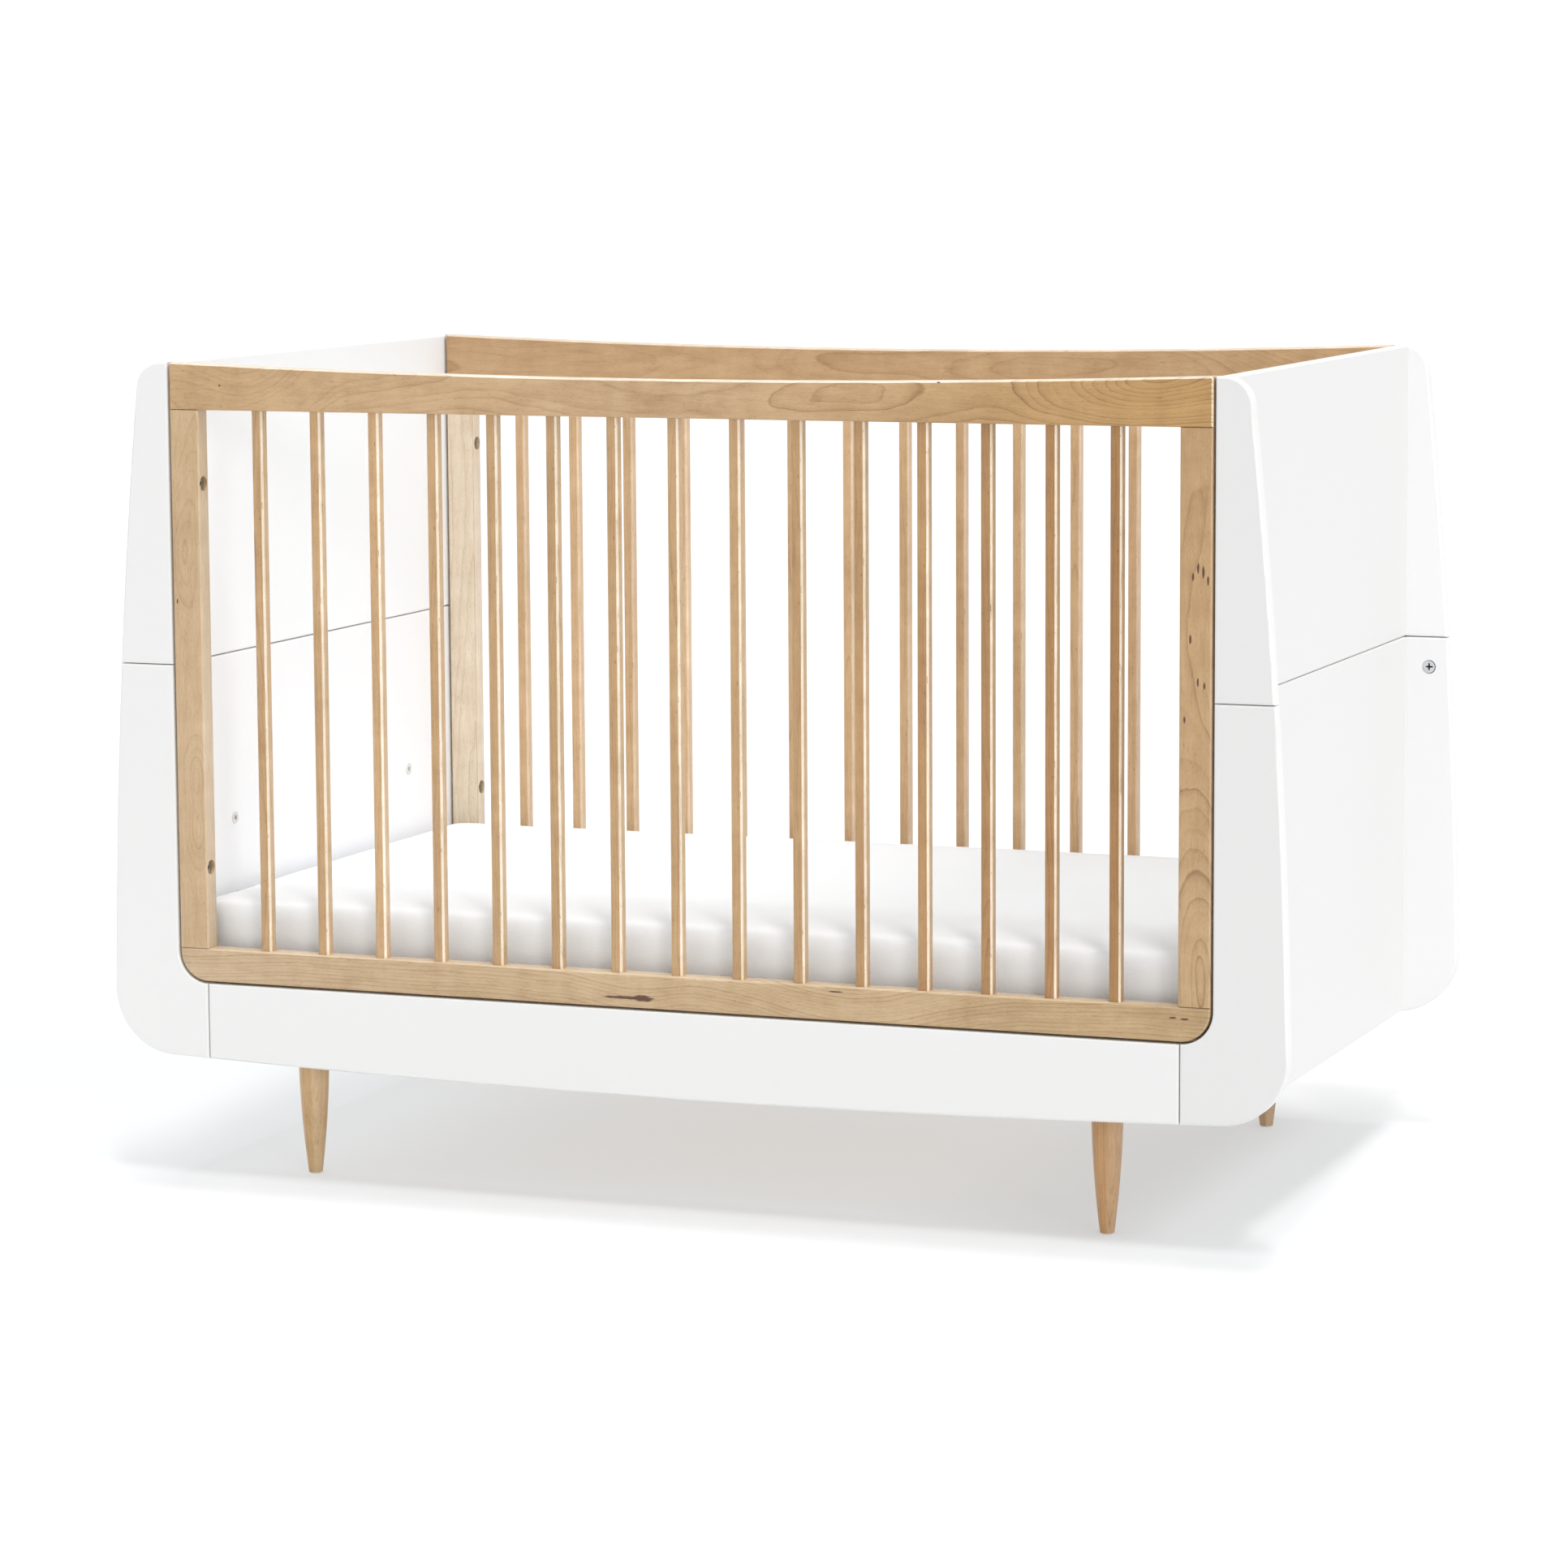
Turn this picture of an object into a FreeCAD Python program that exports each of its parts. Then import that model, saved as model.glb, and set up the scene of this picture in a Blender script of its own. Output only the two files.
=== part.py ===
import FreeCAD, Part
import math
import os

import Sketcher
from FreeCAD import Placement, Rotation, Vector

# Convertible baby crib: two H-shaped painted ends, two slatted beech side frames, painted aprons,
# turned legs, a height-adjustable mattress base and a mattress.
# Millimetres, +X along the crib, +Y to the rear, +Z up, origin on the floor under the middle.

doc = FreeCAD.newDocument("BabyCrib")

# ---------------------------------------------------------------- driving dimensions

SIZES = {
    "half_depth": 370,          # middle to the outer faces of the posts and aprons
    "post_thick": 18,
    "post_inner": 597.5,        # middle to the post edges that the side frames stand against
    "post_top_out": 632.8,      # outer edge of the post, before its corners are rounded
    "post_seam_out": 662,
    "post_foot_out": 678.5,
    "post_edge_radius": 7560,   # the outer edge is one long, slightly swollen curve
    "top_corner": 30,
    "foot_corner": 72,
    "panel_thick": 16,
    "top_height": 908,
    "seam_height": 574.5,       # where the upper end sections lift off the lower ones
    "seam_gap": 0.4,            # half of the gap
    "panel_foot": 137,
    "foot_inner": 562.5,        # where the lower post meets the apron
    "foot_outer_height": 139.4,
    "hem_height": 134.9,        # lower edge of the apron at its ends
    "hem_radius": 16000,
    "apron_half": 561.5,
    "apron_top": 219.5,
    "notch_height": 255,
    "notch_radius": 35.5,
    "arris": 2.4,               # rounding of the painted boards
    "half_frame": 595,
    "frame_thick": 22,
    "stile_width": 35,
    "rail_low": 856,            # underside of the top rail
    "dip_radius": 15400,        # hollow upper edge of the top rail
    "rail_high": 259,           # upper face of the bottom rail
    "rail_base": 222,
    "frame_corner": 33,
    "frame_arris": 2.4,
    "rail_tip": 3,              # upper corners of the top rail
    "joint_gap": 0.2,
    "slat_pitch": 70.1,
    "rear_slat_pitch": 71.3,
    "slat_width": 13,
    "slat_depth": 14,
    "slat_arris": 3,
    "slat_tenon": 12,
    "bolt_high": 775,
    "bolt_low": 349,
    "bolt_mid": 360,            # middle to the side bolts, across the crib
    "counterbore_radius": 8.25,
    "counterbore_deep": 9,
    "bolt_radius": 3,
    "bolt_head_radius": 7,
    "bolt_head": 5,
    "side_bolt_reach": 618,
    "insert_radius": 4.75,
    "insert_long": 21,
    "cam_out": 641,
    "cam_drop": 34.5,           # cam axis below the seam
    "cam_radius": 8,
    "cam_deep": 12.5,
    "cam_dish_radius": 6.3,
    "cam_dish_deep": 0.9,
    "seam_bolt_radius": 3.5,
    "dowel_radius": 4,
    "dowel_long": 36,
    "dowel_deep": 12,           # dowel in the thin face of a board
    "leg_out": 464.5,
    "leg_back": 306,
    "leg_foot_radius": 7.7,
    "leg_top_radius": 17.2,
    "leg_top": 158,
    "leg_swell": 1170,
    "glide_radius": 6,
    "glide_thick": 1.5,
    "leg_board_inner": 420,
    "leg_board_thick": 22,
    "leg_bolt_radius": 4,
    "leg_bolt_deep": 30,
    "leg_nut_radius": 7.5,
    "leg_nut_thick": 6.5,
    "base_half_length": 593,
    "base_half_width": 344,
    "base_rail_thick": 22,
    "base_low": 192,
    "base_high": 220,
    "base_slat_width": 60,
    "base_slat_thick": 9,
    "base_slat_pitch": 80,
    "base_slat_seat": 10,
    "base_arris": 2,
    "base_bolt_height": 206,
    "base_bolt_side": 229,
    "base_step": 90,            # between the three heights of the mattress base
    "base_bolt_reach": 610,
    "slot_radius": 3.4,
    "base_insert_radius": 5,
    "base_insert_long": 13.5,
    "collar_radius": 7,
    "collar_thick": 1,
    "mattress_half_length": 593,
    "mattress_half_width": 340,
    "mattress_thick": 90,
    "mattress_round": 16,
    "soft_gap": 0.3,
}
SLATS = 15
BASE_SLATS = 14

sheet = doc.addObject("Spreadsheet::Sheet", "Sizes")
for line, (alias, value) in enumerate(SIZES.items(), start=1):
    sheet.set("A%d" % line, alias)
    sheet.set("B%d" % line, str(value))
    sheet.setAlias("B%d" % line, alias)
doc.recompute()


class Size:
    """A length together with the sheet expression that drives it."""

    def __init__(self, value, text):
        self.value = float(value)
        self.text = text

    def joined(self, sign, other, value):
        return Size(value, "(%s %s %s)" % (self.text, sign, other.text))

    def __add__(self, other):
        other = size(other)
        return self.joined("+", other, self.value + other.value)

    def __sub__(self, other):
        other = size(other)
        return self.joined("-", other, self.value - other.value)

    def __mul__(self, other):
        other = size(other)
        return self.joined("*", other, self.value * other.value)

    def __truediv__(self, other):
        other = size(other)
        return self.joined("/", other, self.value / other.value)

    def __neg__(self):
        return self * -1


def size(number):
    """Give a plain number as a Size."""
    if isinstance(number, Size):
        return number
    return Size(number, "(%r)" % float(number))


def dim(alias):
    """Give the sheet cell with this alias as a Size."""
    return Size(SIZES[alias], "Sizes.%s" % alias)


def bind(item, name, length):
    item.setExpression(name, size(length).text)


def place(item, x, y, z, rotation=None):
    """Put an object at a point that the sheet drives."""
    item.Placement = Placement(Vector(size(x).value, size(y).value, size(z).value), rotation or Rotation())
    bind(item, "Placement.Base.x", x)
    bind(item, "Placement.Base.y", y)
    bind(item, "Placement.Base.z", z)
    return item


# ---------------------------------------------------------------- sketches and bodies

ALONG_X = Rotation(Vector(0, 1, 0), 90)
ALONG_Y = Rotation(Vector(1, 0, 0), -90)
ALONG_Z = Rotation()


def new_body(label):
    body = doc.addObject("PartDesign::Body", label)
    body.Label = label
    return body


def new_sketch(body, role, offset):
    """Sketch on one of the body's origin planes, shifted along the plane's normal."""
    sketch = body.newObject("Sketcher::SketchObject", body.Name + "_outline")
    plane = [feature for feature in body.Origin.OriginFeatures if feature.Role == role][0]
    sketch.AttachmentSupport = [(plane, "")]
    sketch.MapMode = "FlatFace"
    bind(sketch, "AttachmentOffset.Base.z", offset)
    return sketch


def arc_between(start, end, radius, left_turn):
    """Short circular arc from start to end, with its centre on the left when left_turn is set."""
    chord = end.sub(start)
    rise = math.sqrt(radius ** 2 - (chord.Length / 2) ** 2)
    across = Vector(-chord.y, chord.x, 0).normalize()
    centre = (start + end) * 0.5 + across * (rise if left_turn else -rise)
    first, last = (start, end) if left_turn else (end, start)
    angle_first = math.atan2(first.y - centre.y, first.x - centre.x)
    angle_last = math.atan2(last.y - centre.y, last.x - centre.x)
    if angle_last < angle_first:
        angle_last += 2 * math.pi
    return Part.ArcOfCircle(Part.Circle(centre, Vector(0, 0, 1), radius), angle_first, angle_last)


def draw_outline(sketch, corners, arcs=None):
    """Closed outline through the corners, each fixed by the sheet.

    arcs gives, for the side that starts at a corner, its radius and whether it swells outwards.
    """
    arcs = arcs or {}
    points = [Vector(size(x).value, size(y).value, 0) for x, y in corners]
    count = len(points)
    area = sum(points[i].x * points[(i + 1) % count].y - points[(i + 1) % count].x * points[i].y
               for i in range(count))
    ends = []
    for i in range(count):
        start, end = points[i], points[(i + 1) % count]
        if i in arcs:
            radius, swells = arcs[i]
            left_turn = swells == (area > 0)
            index = sketch.addGeometry(arc_between(start, end, radius.value, left_turn), False)
            ends.append((index, 1, 2) if left_turn else (index, 2, 1))
        else:
            index = sketch.addGeometry(Part.LineSegment(start, end), False)
            ends.append((index, 1, 2))
    for i in range(count):
        after = ends[(i + 1) % count]
        sketch.addConstraint(Sketcher.Constraint("Coincident", ends[i][0], ends[i][2], after[0], after[1]))
    for i, (x, y) in enumerate(corners):
        for kind, length in (("DistanceX", size(x)), ("DistanceY", size(y))):
            near, far = (-1, 1), (ends[i][0], ends[i][1])
            if length.value < 0:
                near, far, length = far, near, -length
            mark = sketch.addConstraint(Sketcher.Constraint(kind, *near, *far, length.value))
            bind(sketch, "Constraints[%d]" % mark, length)
    for i, (radius, swells) in arcs.items():
        mark = sketch.addConstraint(Sketcher.Constraint("Radius", ends[i][0], radius.value))
        bind(sketch, "Constraints[%d]" % mark, radius)


def pad(body, sketch, length):
    feature = body.newObject("PartDesign::Pad", body.Name + "_pad")
    feature.Profile = sketch
    feature.Length = size(length).value
    bind(feature, "Length", length)
    doc.recompute()
    return feature


def fillet(body, radius, chosen):
    """Round the edges of the body's tip that chosen picks."""
    base = body.Tip
    names = ["Edge%d" % (i + 1) for i, edge in enumerate(base.Shape.Edges) if chosen(edge)]
    if not names:
        raise ValueError("no edge to round on " + body.Label)
    feature = body.newObject("PartDesign::Fillet", body.Name + "_round")
    feature.Base = (base, names)
    feature.Radius = radius.value
    bind(feature, "Radius", radius)
    doc.recompute()
    return feature


def middle(edge):
    return edge.valueAt((edge.FirstParameter + edge.LastParameter) / 2)


def runs_along(axis):
    """Choose the straight edges parallel to an axis."""
    def chosen(edge):
        return len(edge.Vertexes) == 2 and abs(edge.tangentAt(edge.FirstParameter).dot(axis)) > 0.9999 \
            and abs((edge.Vertexes[1].Point - edge.Vertexes[0].Point).normalize().dot(axis)) > 0.9999
    return chosen


def corner_at(axis, spots):
    """Choose the edges parallel to an axis that pass one of the spots."""
    along = runs_along(axis)

    def chosen(edge):
        if not along(edge):
            return False
        centre = middle(edge)
        for spot in spots:
            gap = Vector(size(spot[0]).value, centre.y, size(spot[1]).value).sub(centre)
            if gap.Length < 0.5:
                return True
        return False
    return chosen


def in_planes(values, coordinate):
    """Choose the edges that lie in one of the planes at the given values of a coordinate."""
    def chosen(edge):
        spots = [vertex.Point for vertex in edge.Vertexes] + [middle(edge)]
        return any(all(abs(getattr(spot, coordinate) - value) < 0.01 for spot in spots) for value in values)
    return chosen


X_AXIS = Vector(1, 0, 0)
Y_AXIS = Vector(0, 1, 0)
Z_AXIS = Vector(0, 0, 1)


def face_board(label, corners, arcs, thick, round_over, rounded_corners=()):
    """Upright board in the front plane of the crib, with its outline seen from the front."""
    body = new_body(label)
    back = dim("half_depth") - thick
    sketch = new_sketch(body, "XZ_Plane", back)
    draw_outline(sketch, corners, arcs)
    pad(body, sketch, thick)
    for spot, radius in rounded_corners:
        fillet(body, radius, corner_at(Y_AXIS, [spot]))
    faces = (-dim("half_depth").value, -back.value)
    fillet(body, round_over, in_planes(faces, "y"))
    return body


def upright(label, x0, x1, y0, y1, z0, z1, round_over=None, chosen=None):
    """Straight board between two levels, with the edges that chosen picks rounded."""
    body = new_body(label)
    sketch = new_sketch(body, "XY_Plane", z0)
    draw_outline(sketch, [(x0, y0), (x1, y0), (x1, y1), (x0, y1)])
    pad(body, sketch, size(z1) - z0)
    if round_over is not None:
        fillet(body, round_over, chosen)
    return body


def box(label, x0, x1, y0, y1, z0, z1):
    item = doc.addObject("Part::Box", label)
    for name, low, high in (("Length", x0, x1), ("Width", y0, y1), ("Height", z0, z1)):
        bind(item, name, size(high) - low)
    return place(item, x0, y0, z0)


def rod(label, radius, length, x, y, z, rotation=ALONG_Z):
    """Cylinder that starts at a point and runs along the rotation's axis."""
    item = doc.addObject("Part::Cylinder", label)
    bind(item, "Radius", radius)
    bind(item, "Height", length)
    return place(item, x, y, z, rotation)


def prism(label, radius, length, x, y, z, rotation=ALONG_Z):
    """Six-sided prism, for nuts and sockets."""
    item = doc.addObject("Part::Prism", label)
    item.Polygon = 6
    bind(item, "Circumradius", radius)
    bind(item, "Height", length)
    return place(item, x, y, z, rotation)


def compound(label, members):
    item = doc.addObject("Part::Compound", label)
    item.Links = members
    return item


def fuse(label, members):
    item = doc.addObject("Part::MultiFuse", label)
    item.Shapes = members
    return item


def mirror(label, source, normal):
    item = doc.addObject("Part::Mirroring", label)
    item.Source = source
    item.Normal = normal
    return item


def four_corners(label, members):
    """The front right members, repeated at the other three corners of the crib."""
    right = compound(label + "_front_right", members)
    left = mirror(label + "_front_left", right, X_AXIS)
    front = compound(label + "_front", [right, left])
    rear = mirror(label + "_rear", front, Y_AXIS)
    return compound(label, [front, rear])


def cut(label, base, tools):
    """The base less the tools; each tool must take something away."""
    item = doc.addObject("Part::Cut", label)
    item.Base = base
    item.Tool = tools[0] if len(tools) == 1 else compound(label + "_tools", tools)
    doc.recompute()
    if item.Shape.Volume >= base.Shape.Volume - 0.1:
        raise ValueError("nothing was cut from " + label)
    return item


nodes = []


def keep(item, label):
    """Name a finished sub-part and list it for export."""
    item.Label = label
    nodes.append(item)
    return item


# ---------------------------------------------------------------- levels used by many parts

post_back = dim("half_depth") - dim("post_thick")
frame_back = dim("half_depth") - dim("frame_thick")
frame_mid = dim("half_depth") - dim("frame_thick") / 2
post_mid = dim("half_depth") - dim("post_thick") / 2
panel_outer = dim("post_inner") + dim("panel_thick")
panel_mid = dim("post_inner") + dim("panel_thick") / 2
seam_low = dim("seam_height") - dim("seam_gap")
seam_high = dim("seam_height") + dim("seam_gap")
stile_inner = dim("half_frame") - dim("stile_width")
stile_mid = dim("half_frame") - dim("stile_width") / 2
leg_board_top = dim("leg_top") + dim("leg_board_thick")
leg_board_mid = dim("leg_top") + dim("leg_board_thick") / 2

# ---------------------------------------------------------------- dowels, at the front right corner

half_dowel = dim("dowel_long") / 2
dowel_rods = []


def dowel(x, y, z, rotation):
    name = "dowel_%02d" % (len(dowel_rods) + 1)
    dowel_rods.append(rod(name, dim("dowel_radius"), dim("dowel_long"), x, y, z, rotation))


deep_start = -(post_back + dim("dowel_deep"))
for height in (215, 365, 515, 640, 740, 860):
    dowel(panel_mid, deep_start, height, ALONG_Y)
dowel(panel_mid, -200, dim("seam_height") - half_dowel, ALONG_Z)
for height in (dim("rail_low"), dim("rail_high")):
    dowel(stile_mid, -frame_mid, height - half_dowel, ALONG_Z)
for height in (160, 195):
    dowel(dim("foot_inner") - half_dowel, -post_mid, height, ALONG_X)
for side in (120, 280):
    dowel(dim("post_inner") + dim("dowel_deep") - dim("dowel_long"), -side, leg_board_mid, ALONG_X)
for out in (445, 530):
    dowel(out, deep_start, leg_board_mid, ALONG_Y)
dowels = keep(four_corners("dowels", dowel_rods), "dowels")

# ---------------------------------------------------------------- fasteners, at the front right corner

head_start = stile_inner + dim("counterbore_deep") - dim("bolt_head")
bolts = []
pockets = []
inserts = []
for name, height in (("high", dim("bolt_high")), ("low", dim("bolt_low"))):
    y = -dim("bolt_mid")
    head = rod("side_bolt_head_" + name, dim("bolt_head_radius"), dim("bolt_head"), head_start, y, height,
               ALONG_X)
    shank = rod("side_bolt_shank_" + name, dim("bolt_radius"), dim("side_bolt_reach") - head_start,
                head_start, y, height, ALONG_X)
    socket = prism("side_bolt_socket_" + name, 2.9, 3.5, head_start, y, height, ALONG_X)
    bolts.append(cut("side_bolt_" + name, fuse("side_bolt_blank_" + name, [head, shank]), [socket]))
    pockets.append(rod("counterbore_" + name, dim("counterbore_radius"), dim("counterbore_deep") + 5,
                       stile_inner - 5, y, height, ALONG_X))
    barrel = rod("side_insert_barrel_" + name, dim("insert_radius"), dim("insert_long"),
                 dim("post_inner") + 0.2, y, height, ALONG_X)
    bore = rod("side_insert_bore_" + name, dim("bolt_radius"), dim("insert_long") + 2,
               dim("post_inner") - 0.8, y, height, ALONG_X)
    inserts.append(cut("side_insert_" + name, barrel, [bore]))
side_bolts = keep(four_corners("side_bolts", bolts), "side_bolts")
counterbores = four_corners("counterbores", pockets)
side_inserts = keep(four_corners("side_inserts", inserts), "side_inserts")

# cross-slotted cams in the inward faces of the lower posts, and the bolts that they pull down
cam_height = dim("seam_height") - dim("cam_drop")
cam_start = -(post_back + dim("cam_deep"))
cam_blank = rod("cam_blank", dim("cam_radius"), dim("cam_deep"), dim("cam_out"), cam_start, cam_height, ALONG_Y)
slot_wide = box("cam_slot_wide", dim("cam_out") - 4.5, dim("cam_out") + 4.5, -post_back - 3, -post_back + 1,
                cam_height - 0.9, cam_height + 0.9)
slot_tall = box("cam_slot_tall", dim("cam_out") - 0.9, dim("cam_out") + 0.9, -post_back - 3, -post_back + 1,
                cam_height - 4.5, cam_height + 4.5)
cam_dish = rod("cam_dish", dim("cam_dish_radius"), dim("cam_dish_deep") + 1, dim("cam_out"),
               -post_back - dim("cam_dish_deep"), cam_height, ALONG_Y)
cam = cut("cam", cam_blank, [fuse("cam_recess", [slot_wide, slot_tall, cam_dish])])
cam_seat = rod("cam_seat", dim("cam_radius"), dim("cam_deep") + 1, dim("cam_out"), cam_start, cam_height, ALONG_Y)
seam_bolt = rod("seam_bolt", dim("seam_bolt_radius"), dim("cam_drop") - dim("cam_radius") + 24,
                dim("cam_out"), -post_mid, cam_height + dim("cam_radius"))
seam_cams = keep(four_corners("seam_cams", [cam]), "seam_cams")
cam_seats = four_corners("cam_seats", [cam_seat])
seam_bolts = keep(four_corners("seam_bolts", [seam_bolt]), "seam_bolts")

# shouldered bolts that the mattress base hangs on, and the inserts for its three heights
rail_inner = dim("base_half_length") - dim("base_rail_thick")
hook_start = rail_inner - dim("soft_gap") - 4
hook_head = rod("base_bolt_head", dim("bolt_head_radius"), 4, hook_start, -dim("base_bolt_side"),
                dim("base_bolt_height"), ALONG_X)
hook_shank = rod("base_bolt_shank", dim("bolt_radius"), dim("base_bolt_reach") - hook_start, hook_start,
                 -dim("base_bolt_side"), dim("base_bolt_height"), ALONG_X)
hook_socket = prism("base_bolt_socket", 2.9, 2.5, hook_start, -dim("base_bolt_side"), dim("base_bolt_height"),
                    ALONG_X)
hook = cut("base_bolt", fuse("base_bolt_blank", [hook_head, hook_shank]), [hook_socket])
base_bolts = keep(four_corners("base_bolts", [hook]), "base_bolts")

steps = []
seats = []
for step in range(3):
    height = dim("base_bolt_height") + dim("base_step") * step
    spot = (-dim("base_bolt_side"), height, ALONG_X)
    barrel = rod("base_insert_barrel_%d" % step, dim("base_insert_radius"), dim("base_insert_long"),
                 dim("post_inner"), *spot)
    collar = rod("base_insert_collar_%d" % step, dim("collar_radius"), dim("collar_thick"),
                 dim("post_inner") - dim("collar_thick"), *spot)
    bore = rod("base_insert_bore_%d" % step, dim("bolt_radius"), dim("base_insert_long"),
               dim("post_inner") - dim("collar_thick"), *spot)
    steps.append(cut("base_insert_%d" % step, fuse("base_insert_blank_%d" % step, [barrel, collar]), [bore]))
    seats.append(rod("base_insert_seat_%d" % step, dim("base_insert_radius"), dim("base_insert_long"),
                     dim("post_inner"), *spot))
base_inserts = keep(four_corners("base_inserts", steps), "base_inserts")
insert_seats = four_corners("insert_seats", seats)

# leg bolts with their nuts on top of the leg boards
leg_bolt = rod("leg_bolt", dim("leg_bolt_radius"), dim("leg_bolt_deep") + dim("leg_board_thick") + 8,
               dim("leg_out"), -dim("leg_back"), dim("leg_top") - dim("leg_bolt_deep"))
leg_bolts = keep(four_corners("leg_bolts", [leg_bolt]), "leg_bolts")
leg_nut_blank = prism("leg_nut_blank", dim("leg_nut_radius"), dim("leg_nut_thick"), dim("leg_out"),
                      -dim("leg_back"), leg_board_top)
leg_nut_bore = rod("leg_nut_bore", dim("leg_bolt_radius"), dim("leg_nut_thick") + 2, dim("leg_out"),
                   -dim("leg_back"), leg_board_top - 1)
leg_nuts = keep(four_corners("leg_nuts", [cut("leg_nut", leg_nut_blank, [leg_nut_bore])]), "leg_nuts")
glide = rod("floor_glide", dim("glide_radius"), dim("glide_thick"), dim("leg_out"), -dim("leg_back"), 0)
floor_glides = keep(four_corners("floor_glides", [glide]), "floor_glides")

# ---------------------------------------------------------------- end boards


def around(item, name, sides):
    """Keep the front right sub-part under name % side and its mirror images at the other sides."""
    front_right = keep(item, name % sides[0])
    if len(sides) == 2:
        normal = X_AXIS if "right" in sides else Y_AXIS
        keep(mirror(name % sides[1], front_right, normal), name % sides[1])
        return
    left = keep(mirror(name % sides[1], front_right, X_AXIS), name % sides[1])
    keep(mirror(name % sides[2], front_right, Y_AXIS), name % sides[2])
    keep(mirror(name % sides[3], left, Y_AXIS), name % sides[3])


ENDS = ("right", "left")
FACES = ("front", "rear")
CORNERS = ("front_right", "front_left", "rear_right", "rear_left")

corners = [
    (dim("post_inner"), seam_high),
    (dim("post_seam_out"), seam_high),
    (dim("post_top_out"), dim("top_height")),
    (dim("post_inner"), dim("top_height")),
]
blank = face_board("upper_post_blank", corners, {1: (dim("post_edge_radius"), True)}, dim("post_thick"),
                   dim("arris"), [(corners[2], dim("top_corner"))])
around(cut("upper_post", blank, [dowels, side_inserts, side_bolts, seam_bolts]), "%s_upper_post", CORNERS)

# the lower post turns inwards at its foot, around the rounded corner of the side frame
corners = [
    (dim("post_inner"), seam_low),
    (dim("post_inner"), dim("notch_height")),
    (dim("foot_inner"), dim("apron_top")),
    (dim("foot_inner"), dim("hem_height")),
    (dim("post_foot_out"), dim("foot_outer_height")),
    (dim("post_seam_out"), seam_low),
]
arcs = {1: (dim("notch_radius"), False), 4: (dim("post_edge_radius"), True)}
blank = face_board("lower_post_blank", corners, arcs, dim("post_thick"), dim("arris"),
                   [(corners[4], dim("foot_corner"))])
tools = [dowels, side_inserts, side_bolts, seam_bolts, cam_seats]
around(cut("lower_post", blank, tools), "%s_lower_post", CORNERS)

# recessed panels between the front and the rear posts
for part, low, high, tools in (("upper", seam_high, dim("top_height"), [dowels]),
                               ("lower", dim("panel_foot"), seam_low, [dowels, insert_seats, base_bolts])):
    blank = upright(part + "_panel_blank", dim("post_inner"), panel_outer, -post_back, post_back, low, high,
                    dim("arris"), runs_along(Y_AXIS))
    around(cut(part + "_panel", blank, tools), "%s_" + part + "_panel", ENDS)

# ---------------------------------------------------------------- aprons and side frames

corners = [
    (-dim("apron_half"), dim("hem_height")),
    (dim("apron_half"), dim("hem_height")),
    (dim("apron_half"), dim("apron_top")),
    (-dim("apron_half"), dim("apron_top")),
]
blank = face_board("apron_blank", corners, {0: (dim("hem_radius"), True)}, dim("post_thick"), dim("arris"))
around(cut("apron", blank, [dowels]), "%s_apron", FACES)

half_width = dim("slat_width") / 2
half_deep = dim("slat_depth") / 2


def slat_row(name, pitch):
    """One row of slats in the front plane, tenoned into both rails."""
    slats = []
    for number in range(SLATS):
        x = pitch * (number - SLATS // 2)
        slats.append(upright(name + "_slat_%02d" % (number + 1), x - half_width, x + half_width,
                             -frame_mid - half_deep, -frame_mid + half_deep,
                             dim("rail_high") - dim("slat_tenon"), dim("rail_low") + dim("slat_tenon"),
                             dim("slat_arris"), runs_along(Z_AXIS)))
    return slats


def two_rails(name, blank):
    """A rail of each side frame, mortised for its own row of slats."""
    keep(cut("front_" + name, blank, [dowels, front_row]), "front_" + name)
    mortised = cut(name + "_behind", blank, [dowels, rear_row])
    keep(mirror("rear_" + name, mortised, Y_AXIS), "rear_" + name)


front_slats = slat_row("front", dim("slat_pitch"))
for slat in front_slats:
    keep(slat, slat.Label)
front_row = compound("front_slats", front_slats)
rear_row = compound("rear_slats_in_front", slat_row("rear", dim("rear_slat_pitch")))
keep(mirror("rear_slats", rear_row, Y_AXIS), "rear_slats")

corners = [
    (-dim("half_frame"), dim("rail_low")),
    (dim("half_frame"), dim("rail_low")),
    (dim("half_frame"), dim("top_height")),
    (-dim("half_frame"), dim("top_height")),
]
blank = face_board("top_rail_blank", corners, {2: (dim("dip_radius"), False)}, dim("frame_thick"),
                   dim("frame_arris"), [(corners[2], dim("rail_tip")), (corners[3], dim("rail_tip"))])
two_rails("top_rail", blank)

corners = [
    (-dim("half_frame"), dim("rail_base")),
    (dim("half_frame"), dim("rail_base")),
    (dim("half_frame"), dim("rail_high")),
    (-dim("half_frame"), dim("rail_high")),
]
blank = face_board("bottom_rail_blank", corners, {}, dim("frame_thick"), dim("frame_arris"),
                   [(corners[0], dim("frame_corner")), (corners[1], dim("frame_corner"))])
two_rails("bottom_rail", blank)

blank = upright("stile_blank", stile_inner, dim("half_frame"), -dim("half_depth"), -frame_back,
                dim("rail_high") + dim("joint_gap"), dim("rail_low") - dim("joint_gap"), dim("frame_arris"),
                runs_along(Z_AXIS))
around(cut("stile", blank, [dowels, counterbores, side_bolts]), "%s_stile", CORNERS)

# ---------------------------------------------------------------- legs and leg boards

blank = upright("leg_board_blank", dim("leg_board_inner"), dim("post_inner"), -post_back, post_back,
                dim("leg_top"), leg_board_top)
around(cut("leg_board", blank, [dowels, leg_bolts]), "%s_leg_board", ENDS)

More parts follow.
